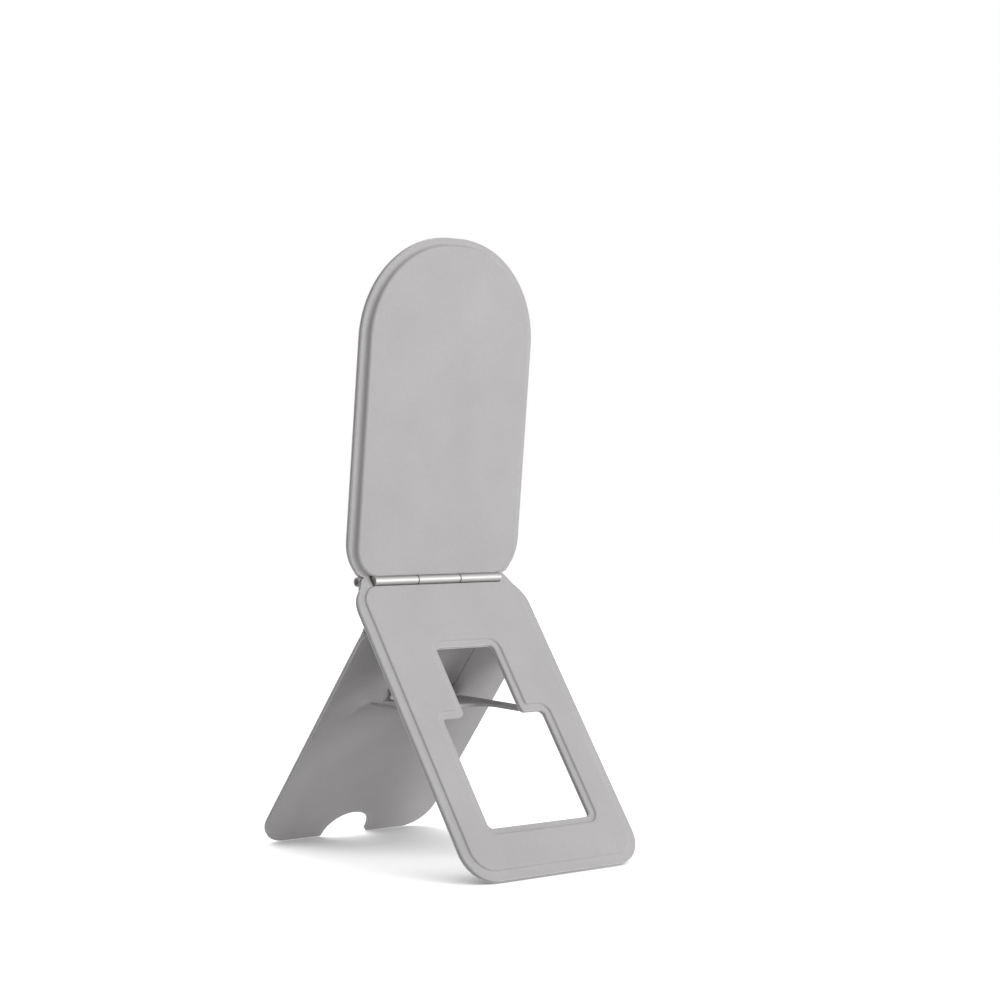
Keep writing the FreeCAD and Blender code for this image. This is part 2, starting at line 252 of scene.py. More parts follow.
def trim_near(obj: Piece, y: float) -> None:
    """Cut a panel off square at a distance from its pivot, and keep the far part.

    Args:
        obj: The panel.
        y: Distance in millimetres.
    """
    with editing(obj, "FACE"):
        bpy.ops.mesh.select_all(action="SELECT")
        bpy.ops.mesh.bisect(plane_co=(0, y * MM, 0), plane_no=(0, 1, 0), use_fill=True, clear_inner=True)


def round_edges(obj: Piece, radius: float, steps: int, wanted: Test) -> None:
    """Round the sharp edges that lie where a test says.

    Args:
        obj: The body.
        radius: Radius in millimetres.
        steps: Facets of the rounding.
        wanted: Test of both ends of an edge.
    """
    with editing(obj, "EDGE"):
        bpy.ops.mesh.select_all(action="DESELECT")
        bpy.ops.mesh.edges_select_sharp(sharpness=SHARP_EDGE)
        mesh = bmesh.from_edit_mesh(obj.data)
        for edge in mesh.edges:
            if edge.select and not all(wanted(vertex.co) for vertex in edge.verts):
                edge.select_set(False)
        bmesh.update_edit_mesh(obj.data)
        bevel(radius, steps, "EDGES")


def at_height(height: float, trim: float | None) -> Test:
    """Test for edges at a height, apart from those of the end that is cut off at trim."""
    return lambda co: (abs(co.z - height * MM) < SAME_HEIGHT
                       and (trim is None or co.y > trim * MM + SAME_HEIGHT))


def swell(obj: Piece, top: float, moves: list[Point]) -> None:
    """Raise the top of a plate in a soft slope, ring by ring.

    Args:
        obj: The plate.
        top: Height of its top in millimetres.
        moves: Inward and upward move of each ring, in millimetres.
    """
    with editing(obj, "FACE"):
        select_faces(obj, lambda co: abs(co.z - top * MM) < SAME_HEIGHT)
        for inward, upward in moves:
            bpy.ops.mesh.inset(thickness=inward * MM, depth=upward * MM, use_even_offset=True)


def smooth(obj: Piece) -> None:
    """Shade the rounded edges smoothly and keep the flats flat.

    Args:
        obj: The body.
    """
    pick(obj)
    bpy.ops.object.shade_smooth_by_angle(angle=SMOOTH_EDGE)
    apply_step(obj, "WEIGHTED_NORMAL", keep_sharp=True)


def put(obj: Piece, place: Matrix) -> None:
    """Move a finished piece to its place, with the place in its mesh.

    Args:
        obj: The piece, modelled flat at the origin.
        place: Where it goes.
    """
    pick(obj)
    obj.matrix_world = place
    bpy.ops.object.transform_apply(location=True, rotation=True, scale=True)


def ribbon(name: str, path: list[Point], sides: Callable[[float], Span], across: int, thickness: float,
           lift: Callable[[float, float], float] | None = None) -> Piece:
    """Strip of skin that follows a path in the plane of Y and Z.

    Args:
        name: Name of the new object.
        path: Middle of the strip's thickness as y and z, in millimetres.
        sides: Left and right x at a share of the path's length.
        across: Number of faces across.
        thickness: Thickness of the skin in millimetres.
        lift: Height off the path, in millimetres, at a share across and a share along, or None.

    Returns:
        The new closed object.
    """
    rows = len(path) - 1
    bpy.ops.mesh.primitive_grid_add(x_subdivisions=across, y_subdivisions=rows, size=2.0)
    obj = named(name)
    for vertex in obj.data.vertices:
        share, along = (vertex.co.x + 1) / 2, (vertex.co.y + 1) / 2
        row = round(along * rows)
        before, here, after = path[max(row - 1, 0)], path[row], path[min(row + 1, rows)]
        run = Vector((after[0] - before[0], after[1] - before[1])).normalized()
        left, right = sides(along)
        high = lift(share, along) if lift else 0.0
        x = left + (right - left) * share
        vertex.co = Vector((x, here[0] - run.y * high, here[1] + run.x * high)) * MM
    apply_step(obj, "SOLIDIFY", thickness=thickness * MM, offset=0, use_even_offset=True)
    with editing(obj, "FACE"):
        face_outwards()
    bpy.ops.object.shade_smooth_by_angle(angle=SHARP_EDGE)
    return obj


def straight(start: Point, end: Point, steps: int) -> list[Point]:
    """Points of a straight run from start, without its end."""
    return [(start[0] + (end[0] - start[0]) * i / steps, start[1] + (end[1] - start[1]) * i / steps)
            for i in range(steps)]


def curve_between(start: Point, pull: Point, end: Point, steps: int) -> list[Point]:
    """Smooth bend.

    Args:
        start: Where it begins.
        pull: The point that it is drawn towards.
        end: Where it ends.
        steps: Number of steps.

    Returns:
        Its points, both ends among them.
    """
    points = []
    for i in range(steps + 1):
        t = i / steps
        a, b, c = (1 - t) ** 2, 2 * t * (1 - t), t * t
        points.append((a * start[0] + b * pull[0] + c * end[0], a * start[1] + b * pull[1] + c * end[1]))
    return points


def crossing(a: Point, heading_a: float, b: Point, heading_b: float) -> Point:
    """Point where two lines cross.

    Args:
        a: Point of the first line.
        heading_a: Its heading in degrees.
        b: Point of the second line.
        heading_b: Its heading in degrees.

    Returns:
        The point.
    """
    ca, sa = math.cos(math.radians(heading_a)), math.sin(math.radians(heading_a))
    cb, sb = math.cos(math.radians(heading_b)), math.sin(math.radians(heading_b))
    along = ((b[0] - a[0]) * sb - (b[1] - a[1]) * cb) / (ca * sb - sa * cb)
    return a[0] + along * ca, a[1] + along * sa


# Places


@dataclass(frozen=True)
class PanelFrame:
    """Frame of a panel: X across it, Y along it from its pivot, Z through it."""

    angle: float
    y: float
    z: float

    def point(self, along: float, through: float) -> Point:
        """World y and z of a point of the panel, in millimetres."""
        c, s = math.cos(math.radians(self.angle)), math.sin(math.radians(self.angle))
        return self.y + along * c - through * s, self.z + along * s + through * c

    def world(self, along: float, through: float) -> Vector:
        """Point of the panel's middle line in the row frame, in metres."""
        return Vector((0, *self.point(along, through))) * MM

    def matrix(self, seam: float, turned_over: bool) -> Matrix:
        """Place of a flat model whose height 0 is the panel's seam.

        Args:
            seam: Where the seam lies through the panel, in millimetres.
            turned_over: True where the model's top looks against the panel's Z.

        Returns:
            The matrix of the model.
        """
        over = Matrix.Rotation(math.pi, 4, "Y") if turned_over else Matrix.Identity(4)
        leant = Matrix.Rotation(math.radians(self.angle), 4, "X")
        return Matrix.Translation(self.world(0, seam)) @ leant @ over


@dataclass(frozen=True)
class Stance:
    """How the panels stand, read from the frame's joints and the leans of the panels."""

    head_lean: float = 5.9
    front_lean: float = 34.9
    rear_lean: float = 39.0
    strut_slope: float = 2.3

    def pivot(self, joint: str) -> Point:
        """World y and z of a joint, in millimetres."""
        found = next(j for j in frame["joints"] if j["name"] == joint)
        return found["pos_m"][1] / MM, found["pos_m"][2] / MM

    def head(self) -> PanelFrame:
        """Frame of the head, with Z towards its raised back."""
        return PanelFrame(90 + self.head_lean, *self.pivot("head_tilt"))

    def front_leg(self) -> PanelFrame:
        """Frame of the front leg, with Z towards its inner face."""
        return PanelFrame(270 - self.front_lean, *self.pivot("head_tilt"))

    def rear_leg(self) -> PanelFrame:
        """Frame of the rear leg, with Z towards its outer face."""
        return PanelFrame(270 + self.rear_lean, *self.pivot("rear_leg_fold"))

    def strut(self) -> PanelFrame:
        """Frame of the strut, with Z downwards."""
        return PanelFrame(180 + self.strut_slope, *self.pivot("strut_fold"))


STANCE = Stance()


# Finishes


def linear(grey: float, warmth: float = 0.0) -> Colour:
    """Linear colour of a grey given as it looks on a screen, from 0 to 1, a little rosy."""
    shares = [grey + warmth, grey - warmth, grey]
    return (*[c / 12.92 if c <= 0.04045 else ((c + 0.055) / 1.055) ** 2.4 for c in shares], 1.0)


@dataclass(frozen=True)
class Wiring:
    """Nodes of a material, a group or the world, wired as they are added."""

    tree: bpy.types.NodeTree

    def feed(self, node: Node, inputs: Inputs) -> None:
        """Set the inputs of a node.

        Args:
            node: The node.
            inputs: Value of each input, or the output that it is wired to.
        """
        for name, value in inputs.items():
            if isinstance(value, Socket):
                self.tree.links.new(value, node.inputs[name])
            else:
                node.inputs[name].default_value = value

    def add(self, kind: str, output: str, inputs: Inputs | None = None, **settings: object) -> Socket:
        """Add a shader node.

        Args:
            kind: Kind of node, without the start that all kinds share.
            output: Name of the output that is wanted.
            inputs: Value of each input, or the output that it is wired to.
            settings: Other settings by name.

        Returns:
            The wanted output.
        """
        node = self.tree.nodes.new("ShaderNode" + kind)
        for name, value in settings.items():
            setattr(node, name, value)
        self.feed(node, inputs or {})
        return node.outputs[output]

    def math(self, operation: str, *values: object) -> Socket:
        """Result of a sum on values or outputs."""
        return self.add("Math", "Value", dict(enumerate(values)), operation=operation)

    def vector(self, operation: str, *values: object, output: str = "Vector") -> Socket:
        """Result of a sum on vectors."""
        return self.add("VectorMath", output, dict(enumerate(values)), operation=operation)

    def spread(self, value: Socket, low: float, high: float) -> Socket:
        """Run from low to high while a value goes from 0 to 1."""
        return self.add("MapRange", "Result", {"Value": value, "To Min": low, "To Max": high})

    def ramp(self, value: Socket, dark: Colour, light: Colour, span: Span = (0.0, 1.0)) -> Socket:
        """Run of colour.

        Args:
            value: What it follows.
            dark: Colour at the start of the span.
            light: Colour at the end of the span.
            span: Values at which the run starts and ends.

        Returns:
            The colour.
        """
        colour = self.add("ValToRGB", "Color", {"Fac": value})
        for stop, at, shade in zip(colour.node.color_ramp.elements, span, (dark, light)):
            stop.position = at
            stop.color = shade
        return colour

    def relief(self, height: Socket, strength: float, depth: float) -> Socket:
        """Normal of a fine relief."""
        return self.add("Bump", "Normal", {"Height": height, "Strength": strength, "Distance": depth})

    def seen(self) -> Socket:
        """Test that is 1 for what the eye sees, also in a mirror or through glass, and 0 for light.

        Returns:
            The result.
        """
        rays = self.add("LightPath", "Is Camera Ray").node.outputs
        mirror = self.math("MAXIMUM", rays["Is Glossy Ray"], rays["Is Transmission Ray"])
        return self.math("MAXIMUM", rays["Is Camera Ray"], mirror)


@dataclass(frozen=True)
class GrainGroup:
    """Shared grain of the skins: small pebbles with fine creases between them, and slow mottling."""

    name: str = "skin grain"
    warp_scale: float = 420.0
    warp_share: float = 0.0006
    warp_detail: float = 2.0
    crease_width: float = 0.22
    fine_scale: float = 2.6
    fine_share: float = 0.35
    fine_detail: float = 3.0
    fine_roughness: float = 0.6
    mottle_detail: float = 4.0

    def tree(self) -> bpy.types.NodeTree:
        """Node group with the grain, made once.

        Returns:
            The group, with inputs Pebbles and Mottle and outputs Height, Tone and Gloss.
        """
        if self.name in bpy.data.node_groups:
            return bpy.data.node_groups[self.name]
        group = bpy.data.node_groups.new(self.name, "ShaderNodeTree")
        for way, names in (("INPUT", ("Pebbles", "Mottle")), ("OUTPUT", ("Height", "Tone", "Gloss"))):
            for name in names:
                group.interface.new_socket(name=name, in_out=way, socket_type="NodeSocketFloat")
        wires = Wiring(group)
        given = group.nodes.new("NodeGroupInput").outputs
        place = wires.add("TexCoord", "Object")
        warp = wires.add("TexNoise", "Color",
                         {"Vector": place, "Scale": self.warp_scale, "Detail": self.warp_detail})
        shifted = wires.add("MixRGB", "Color", {"Fac": self.warp_share, "Color1": place, "Color2": warp})
        cells = wires.add("TexVoronoi", "Distance", {"Vector": shifted, "Scale": given["Pebbles"]},
                          feature="DISTANCE_TO_EDGE")
        creases = wires.add("MapRange", "Result", {"Value": cells, "From Max": self.crease_width})
        finer = wires.math("MULTIPLY", given["Pebbles"], self.fine_scale)
        fine = wires.add("TexNoise", "Fac", {"Vector": place, "Scale": finer, "Detail": self.fine_detail,
                                             "Roughness": self.fine_roughness})
        height = wires.math("MULTIPLY_ADD", fine, self.fine_share, creases)
        mottle = wires.add("TexNoise", "Fac",
                           {"Vector": place, "Scale": given["Mottle"], "Detail": self.mottle_detail})
        result = group.nodes.new("NodeGroupOutput")
        wires.feed(result, {"Height": height, "Tone": mottle, "Gloss": creases})
        return group


@dataclass(frozen=True)
class Finish:
    """A surface with a material that is made once."""

    name: str

    def material(self) -> bpy.types.Material:
        """Material of the finish, made when it is first wanted.

        Returns:
            The material.
        """
        if self.name in bpy.data.materials:
            return bpy.data.materials[self.name]
        made = bpy.data.materials.new(self.name)
        made.use_nodes = True
        self.shade(Wiring(made.node_tree), made.node_tree.nodes["Principled BSDF"])
        return made

    def shade(self, wires: Wiring, shader: Node) -> None:
        """Wire the look of the finish into the shader of its material."""
        raise NotImplementedError


@dataclass(frozen=True)
class SkinFinish(Finish):
    """Pale, matt, finely grained skin."""

    name: str = "pale skin"
    grey: float = 0.735
    warmth: float = 0.004
    pebbles: float = 1500.0
    mottle: float = 55.0
    depth: float = 0.00003
    roughness: Span = (0.62, 0.52)
    tone_span: Span = (0.3, 0.7)
    tone_spread: float = 0.012
    # Share by which the grain's creases darken the base colour: painted shade in the creases.
    crease: float = 0.06
    relief: float = 0.35
    specular: float = 0.35
    sheen: float = 0.08
    sheen_roughness: float = 0.45

    def shade(self, wires: Wiring, shader: Node) -> None:
        """Wire the grain into tone, gloss and relief.

        Args:
            wires: The nodes of the material.
            shader: Its shader.
        """
        grain = wires.add("Group", "Tone", {"Pebbles": self.pebbles, "Mottle": self.mottle},
                          node_tree=GrainGroup().tree()).node.outputs
        tone = wires.ramp(grain["Tone"], linear(self.grey - self.tone_spread, self.warmth),
                          linear(self.grey + self.tone_spread, self.warmth), self.tone_span)
        wires.feed(shader, {
            # Painted shade: the base colour is darkened a little in the grain's creases.
            "Base Color": wires.add("MixRGB", "Color", {
                "Fac": self.crease, "Color1": tone, "Color2": grain["Gloss"]}, blend_type="MULTIPLY"),
            "Roughness": wires.spread(grain["Gloss"], *self.roughness),
            "Normal": wires.relief(grain["Height"], self.relief, self.depth),
            "Specular IOR Level": self.specular,
            "Sheen Weight": self.sheen,
            "Sheen Roughness": self.sheen_roughness,
        })


@dataclass(frozen=True)
class MetalFinish(Finish):
    """Metal with fine marks along X."""

    colour: Colour
    roughness: Span
    marks: float = 900.0
    stretch: float = 12.0
    detail: float = 3.0
    worn: float = 0.88
    relief: float = 0.12
    depth: float = 0.00001

    def shade(self, wires: Wiring, shader: Node) -> None:
        """Wire the marks into tone, gloss and relief.

        Args:
            wires: The nodes of the material.
            shader: Its shader.
        """
        drawn = wires.add("Mapping", "Vector", {
            "Vector": wires.add("TexCoord", "Object"),
            "Scale": (self.marks / self.stretch, self.marks, self.marks)})
        marks = wires.add("TexNoise", "Fac", {"Vector": drawn, "Scale": 1.0, "Detail": self.detail})
        darker = tuple(self.worn * c for c in self.colour[:3]) + (1.0,)
        wires.feed(shader, {
            "Metallic": 1.0,
            "Roughness": wires.spread(marks, *self.roughness),
            "Base Color": wires.ramp(marks, darker, self.colour),
            "Normal": wires.relief(marks, self.relief, self.depth),
        })


@dataclass(frozen=True)
class MouldedFinish(Finish):
    """Moulded or laminated board with a fine speckle."""

    grey: float
    speckle: float = 700.0
    detail: float = 3.0
    tone_spread: float = 0.03
    roughness: float = 0.6
    relief: float = 0.2
    depth: float = 0.00002

    def shade(self, wires: Wiring, shader: Node) -> None:
        """Wire the speckle into tone and relief.

        Args:
            wires: The nodes of the material.
            shader: Its shader.
        """
        speckle = wires.add("TexNoise", "Fac", {
            "Vector": wires.add("TexCoord", "Object"), "Scale": self.speckle, "Detail": self.detail})
        wires.feed(shader, {
            "Roughness": self.roughness,
            "Base Color": wires.ramp(speckle, linear(self.grey - self.tone_spread),
                                     linear(self.grey + self.tone_spread)),
            "Normal": wires.relief(speckle, self.relief, self.depth),
        })


@dataclass(frozen=True)
class BarrelFinish(MetalFinish):
    """Satin metal that is polished on the barrel, with painted shade on the leaves beyond it and at its
    joints.
    """

    axis: Point = (0.0, 0.0)
    radius: float = 1.4
    outside: Span = (1.02, 1.06)
    joint: float = 7.9
    joint_shade: float = 0.35
    # Near-black painted shade, for the shadow in the slot above the barrel and at the knuckle joints.
    painted_shade: Colour = (0.03, 0.03, 0.03, 1.0)

    def shade(self, wires: Wiring, shader: Node) -> None:
        """Wire the metal, and paint shade on the leaves beyond the barrel and at its joints.

        Args:
            wires: The nodes of the material.
            shader: Its shader.
        """
        super().shade(wires, shader)
        bright = shader.inputs["Base Color"].links[0].from_socket
        place = wires.add("TexCoord", "Object")
        offset = wires.vector("SUBTRACT", place, (0, self.axis[0] * MM, self.axis[1] * MM))
        across = wires.vector("MULTIPLY", offset, (0, 1, 1))
        far = wires.vector("LENGTH", across, output="Value")
        # Painted shade: beyond the barrel's radius the leaves turn near-black, where the slot lies in shadow.
        outside = wires.add("MapRange", "Result", {
            "Value": far, "From Min": self.radius * self.outside[0] * MM,
            "From Max": self.radius * self.outside[1] * MM})
        aside = wires.math("ABSOLUTE", wires.add("SeparateXYZ", "X", {"Vector": place}))
        # Painted shade in soft bands at the knuckle joints.
        from_joint = wires.math("ABSOLUTE", wires.math("SUBTRACT", aside, self.joint * MM))
        shaded = wires.spread(from_joint, 1.0, 0.0)
        wires.feed(shaded.node, {"From Max": self.joint_shade * MM})
        darker = wires.math("MAXIMUM", outside, shaded)
        wires.feed(shader, {"Base Color": wires.add("MixRGB", "Color", {
            "Fac": darker, "Color1": bright, "Color2": self.painted_shade})})


SKIN = SkinFinish()
# Paler copy of the skin for the covers' walls: painted light, standing in for light from the left.
PAINTED_LIGHT_EDGE = SkinFinish("edge with painted light", 0.87)
SATIN_STEEL = BarrelFinish("satin steel", (0.44, 0.43, 0.425, 1.0), (0.4, 0.5),
                           axis=STANCE.pivot("head_tilt"))
ROLLED_STEEL = MetalFinish("rolled steel", (0.52, 0.52, 0.53, 1.0), (0.35, 0.5))
NICKEL = MetalFinish("nickel", (0.66, 0.64, 0.6, 1.0), (0.16, 0.26))
BOARD = MouldedFinish("fibre board", 0.6)
CARRIER = MouldedFinish("dark carrier", 0.24)


def dress(obj: Piece, finish: Finish) -> None:
    """Give an object one finish all over."""
    obj.data.materials.clear()
    obj.data.materials.append(finish.material())


def dress_with_painted_light_edges(obj: Piece, low: float, high: float) -> None:
    """Give a skin its finish, and its walls between two heights a paler copy of it: painted light on the
    walls.

    Args:
        obj: The skin, before it is put in place.
        low: Height where its edges begin, in millimetres.
        high: Height where its edges end, in millimetres.
    """
    dress(obj, SKIN)
    obj.data.materials.append(PAINTED_LIGHT_EDGE.material())
    for face in obj.data.polygons:
        if low * MM < face.center.z < high * MM and abs(face.normal.z) < WALL_TILT:
            face.material_index = 1


def carry(obj: Piece, place: Matrix, body: Body, *nodes: str) -> None:
    """Put a finished cover in its place, to ride on a body and stand for CAD nodes.

    Args:
        obj: The cover, modelled flat at the origin.
        place: Where it goes.
        body: The body that it rides on.
        nodes: The CAD nodes that it stands for.
    """
    put(obj, place)
    if not obj.data.materials:
        dress(obj, SKIN)
    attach(obj, body.value)
    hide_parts(*nodes)
    log.info("%s rides on %s, %d faces", obj.name, body.value, len(obj.data.polygons))


def bend(obj: Piece, first: Body, second: Body, start: Vector, end: Vector, *nodes: str) -> None:
    """Dress a finished fold, bake its place into its mesh, and hide the CAD nodes that it stands for.

    Args:
        obj: The fold.
        first: The body on one side of the fold, named in the log.
        second: The body on its other side, named in the log.
        start: Not used.
        end: Not used.
        nodes: The CAD nodes that it stands for, if any.
    """
    dress(obj, SKIN)
    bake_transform(obj)
    if nodes:
        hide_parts(*nodes)
    log.info("%s bends between %s and %s, %d faces", obj.name, first.value, second.value,
             len(obj.data.polygons))


# Panels


@dataclass(frozen=True)
class Slope:
    """Soft step from the flange up to the raised field: a hollow foot that runs into a round crown."""

    rise: float
    hollow: float
    crown: float

    def steepness(self) -> float:
        """Steepest angle of the step, in radians."""
        return math.acos(1 - self.rise / (self.hollow + self.crown))

    def foot(self) -> float:
        """Width of the hollow foot."""
        return self.hollow * math.sin(self.steepness())

    def shoulder(self) -> float:
        """Width of the round crown."""
        return self.crown * math.sin(self.steepness())

    def moves(self, steps: int) -> list[Point]:
        """Inward and upward moves along the step.

        Args:
            steps: Number of moves in the foot, and again in the crown.

        Returns:
            The moves, from the flange to the top.
        """
        angles = [self.steepness() * i / steps for i in range(steps + 1)]
        foot = [(self.hollow * (math.sin(b) - math.sin(a)), self.hollow * (math.cos(a) - math.cos(b)))
                for a, b in zip(angles, angles[1:])]
        crown = [(inward * self.crown / self.hollow, upward * self.crown / self.hollow)
                 for inward, upward in reversed(foot)]
        return foot + crown


@dataclass
class CoveredPanel:
    """Sizes that the covered panels share, in millimetres: two skins that meet in a flange."""

    half_width: float = 32.0
    skin: float = 0.8
    flange: float = 2.85
    rim_round: float = 0.42
    rim_steps: int = 4
    seam_round: float = 0.34
    seam_steps: int = 2
    slope_steps: int = 6
    sink: float = 0.01

    def plate(self, near: float, far: float, near_radius: float, far_radius: float,
              grow: float) -> list[Corner]:
        """Outline of a plain panel, widened all round by grow."""
        side = self.half_width + grow
        return mirrored([(side, near - grow, max(near_radius + grow, 0)),
                         (side, far + grow, max(far_radius + grow, 0))])

    def room(self, slope: Slope) -> float:
        """Least radius of a corner that a step and its rim go round."""
        return slope.foot() + slope.shoulder() + self.rim_round

    def soften(self, skin: Piece, face: float, trim: float | None) -> None:
        """Round a skin's edges at its face and at the seam, apart from the end cut off at trim."""
        round_edges(skin, self.rim_round, self.rim_steps, at_height(face, trim))
        round_edges(skin, self.seam_round, self.seam_steps, at_height(0, trim))

    def formed(self, name: str, outline: list[Corner], raised: Outline, slope: Slope, cuts: Span | None,
               window: Window | None = None, margin: float = 0) -> Piece:
        """Formed skin: a flange and a raised field over a pocket.

        Args:
            name: Name of the new object.
            outline: Outline of the flange.
            raised: Outline of the steepest line round the raised field, widened by a size.
            slope: The step up to the raised field.
            cuts: Distances from the pivot where the flange and the raised field are cut off, or None.
            window: Outline of the window, by how much it is widened and its least radius, or None.
            margin: Distance of the steepest line from the window.

        Returns:
            The skin, with its seam at height 0.
        """
        top = self.skin + slope.rise
        skin = prism(name, outline, 0, self.skin)
        high = self.skin - self.sink
        field_body = prism("field", raised(slope.foot()), self.skin / 4, high)
        pocket = prism("pocket", raised(-self.skin), -self.skin, slope.rise)
        if window is not None:
            around = window(margin - slope.foot(), self.room(slope))
            within = window(margin + self.skin, 0)
            combine(skin, prism("opening", window(0, 0), -self.skin, top), Joining.CUT)
            combine(field_body, prism("inner", around, -self.skin, 2 * top), Joining.CUT)
            combine(pocket, prism("inner", within, -2 * self.skin, 2 * top), Joining.CUT)
        swell(field_body, high, slope.moves(self.slope_steps))
        if cuts is not None:
            trim_near(skin, cuts[0])
            trim_near(field_body, cuts[1])
        self.soften(skin, self.skin, cuts[0] if cuts is not None else None)
        combine(skin, field_body, Joining.FUSE)
        combine(skin, pocket, Joining.CUT)
        smooth(skin)
        dress_with_painted_light_edges(skin, 0, self.skin)
        return skin

    def flat(self, name: str, outline: list[Corner], trim: float | None, window: Window | None = None,
             recess: tuple[list[Corner], float] | None = None) -> Piece:
        """Flat skin under the seam.

        Args:
            name: Name of the new object.
            outline: Outline of the skin.
            trim: Distance from the pivot where the skin is cut off, or None.
            window: Outline of the window, by how much it is widened and its least radius, or None.
            recess: Outline and depth of a recess in its face, or None.

        Returns:
            The skin, with its seam at height 0 and its face downwards.
        """
        skin = prism(name, outline, -self.skin, 0)
        if trim is not None:
            trim_near(skin, trim)
        if window is not None:
            combine(skin, prism("opening", window(0, 0), -2 * self.skin, self.skin), Joining.CUT)
        if recess is not None:
            combine(skin, prism("recess", recess[0], -2 * self.skin, recess[1] - self.skin), Joining.CUT)
        self.soften(skin, -self.skin, trim)
        smooth(skin)
        dress_with_painted_light_edges(skin, -self.skin, 0)
        return skin


@dataclass
class NeckedPanel(CoveredPanel):
    """Panel whose shoulders run into the narrow neck at the barrel hinge."""

    neck_step: float = 6.2
    shoulder_radius: float = 9.8
    neck_gap: float = 0.25
    hinge_margin: float = 1.46
    crown_margin: float = 0.3
    shoulder_inset: float = 6.9
    trim: float = 1.8

    def shoulder_line(self) -> float:
        """Height of the shoulder's corner, at which its arc crosses the neck at the hinge line."""
        rise = math.sqrt(self.shoulder_radius ** 2 - (self.shoulder_radius - self.neck_step) ** 2)
        return self.neck_gap + rise - self.shoulder_radius

    def side_at(self, along: float) -> float:
        """Half width of the shoulder at a distance from the hinge line."""
        drop = self.shoulder_line() + self.shoulder_radius - along
        return self.half_width - self.shoulder_radius + math.sqrt(self.shoulder_radius ** 2 - drop ** 2)

    def necked(self, far: float, far_radius: float) -> list[Corner]:
        """Outline of the whole panel."""
        return self.plate(self.shoulder_line(), far, self.shoulder_radius, far_radius, 0)

    def raised_field(self, far: float, far_radius: float, slope: Slope) -> Outline:
        """Outline of the raised field, as a function of how much it is widened."""
        near = self.hinge_margin + self.crown_margin - slope.shoulder() - self.flange
        return lambda grow: self.plate(near, far, self.shoulder_inset + self.flange, far_radius,
                                       grow - self.flange)


@dataclass
class HeadPanel(NeckedPanel):
    """Head with a round top: a formed back and a flat face."""

    flange: float = 2.2
    shoulder_radius: float = 13.0
    shoulder_inset: float = 9.0
    length: float = 99.2
    top_radius: float = 30.0
    seam: float = -2.55
    slope: Slope = Slope(1.7, 1.2, 0.9)

    def build(self) -> None:
        """Make both skins of the head and put them in place."""
        place = STANCE.head().matrix(self.seam, False)
        outline = self.necked(self.length, self.top_radius)
        raised = self.raised_field(self.length, self.top_radius, self.slope)
        back = self.formed("head_back_cover", outline, raised, self.slope, (self.trim, self.hinge_margin))
        carry(back, place, Body.HEAD, "head_back_skin")
        face = self.flat("head_face_cover", outline, self.trim)
        carry(face, place, Body.HEAD, "head_front_skin")


@dataclass
class FrontLegPanel(NeckedPanel):
    """Front leg with an inverted-T window."""

    length: float = 95.58
    foot_radius: float = 9.5
    seam: float = 1.4
    slope: Slope = Slope(0.55, 0.3, 0.65)
    narrow: float = 10.7
    wide: float = 18.8
    window_top: float = 22.6
    ledge: float = 45.2
    window_low: float = 80.18
    window_radius: float = 1.6
    least_radius: float = 0.7
    margin: float = 1.9

    def window(self, grow: float, least: float) -> list[Corner]:
        """Outline of the window.

        Args:
            grow: How much it is widened all round.
            least: Least radius at the ledge.

        Returns:
            Its corners.
        """
        outer = self.window_radius + grow
        inner = max(self.window_radius - grow, self.least_radius, least)
        narrow, wide, ledge = self.narrow + grow, self.wide + grow, self.ledge - grow
        return mirrored([(narrow, self.window_top - grow, outer), (narrow, ledge, inner),
                         (wide, ledge, outer), (wide, self.window_low + grow, outer)])

    def build(self) -> None:
        """Make both skins of the front leg and put them in place."""
        place = STANCE.front_leg().matrix(self.seam, True)
        outline = self.necked(self.length, self.foot_radius)
        raised = self.raised_field(self.length, self.foot_radius, self.slope)
        outer = self.formed("front_leg_outer_cover", outline, raised, self.slope,
                            (self.trim, self.hinge_margin), self.window, self.margin)
        carry(outer, place, Body.FRONT_LEG, "front_leg_outer_skin")
        inner = self.flat("front_leg_inner_cover", outline, self.trim, self.window)
        carry(inner, place, Body.FRONT_LEG, "front_leg_inner_skin")


@dataclass
class RearLegPanel(CoveredPanel):
    """Rear leg with a thumb notch in its foot."""

    length: float = 84.21
    near: float = 0.6
    near_radius: float = 3.0
    foot_radius: float = 9.5
    seam: float = 0.95
    slope: Slope = Slope(0.5, 0.3, 0.65)
    notch: float = 8.4
    notch_depth: float = 9.1
    notch_radius: float = 8.3
    notch_lip: float = 0.7
    notch_straight: float = 0.1
    recess_half: float = 12.6
    recess_low: float = 28.1
    recess_depth: float = 0.6

    def recess(self) -> list[Corner]:
        """Outline of the recess that the strut's strap lies in."""
        return mirrored([(self.recess_half, 2 * self.near, self.seam),
                         (self.recess_half, self.recess_low, self.seam)])

    def outline(self, grow: float, least: float) -> list[Corner]:
        """Outline of the leg.

        Args:
            grow: How much it is widened all round.
            least: Least radius at the notch's lips.

        Returns:
            Its corners.
        """
        side, foot = self.half_width + grow, self.length + grow
        notch = self.notch - grow
        lip = max(self.notch_lip + grow, least)
        arch = min(self.notch_radius - grow, self.notch_depth - lip - self.notch_straight)
        return mirrored([(side, self.near - grow, self.near_radius), (side, foot, self.foot_radius + grow),
                         (notch, foot, lip), (notch, foot - self.notch_depth, arch)])

    def build(self) -> None:
        """Make both skins of the rear leg and put them in place."""
        place = STANCE.rear_leg().matrix(self.seam, False)
        outline, room = self.outline(0, 0), self.room(self.slope)
        outer = self.formed("rear_leg_outer_cover", outline,
                            lambda grow: self.outline(grow - self.flange, room), self.slope, None)
        carry(outer, place, Body.REAR_LEG, "rear_leg_outer_skin")
        inner = self.flat("rear_leg_inner_cover", outline, None, None, (self.recess(), self.recess_depth))
        carry(inner, place, Body.REAR_LEG, "rear_leg_inner_skin")


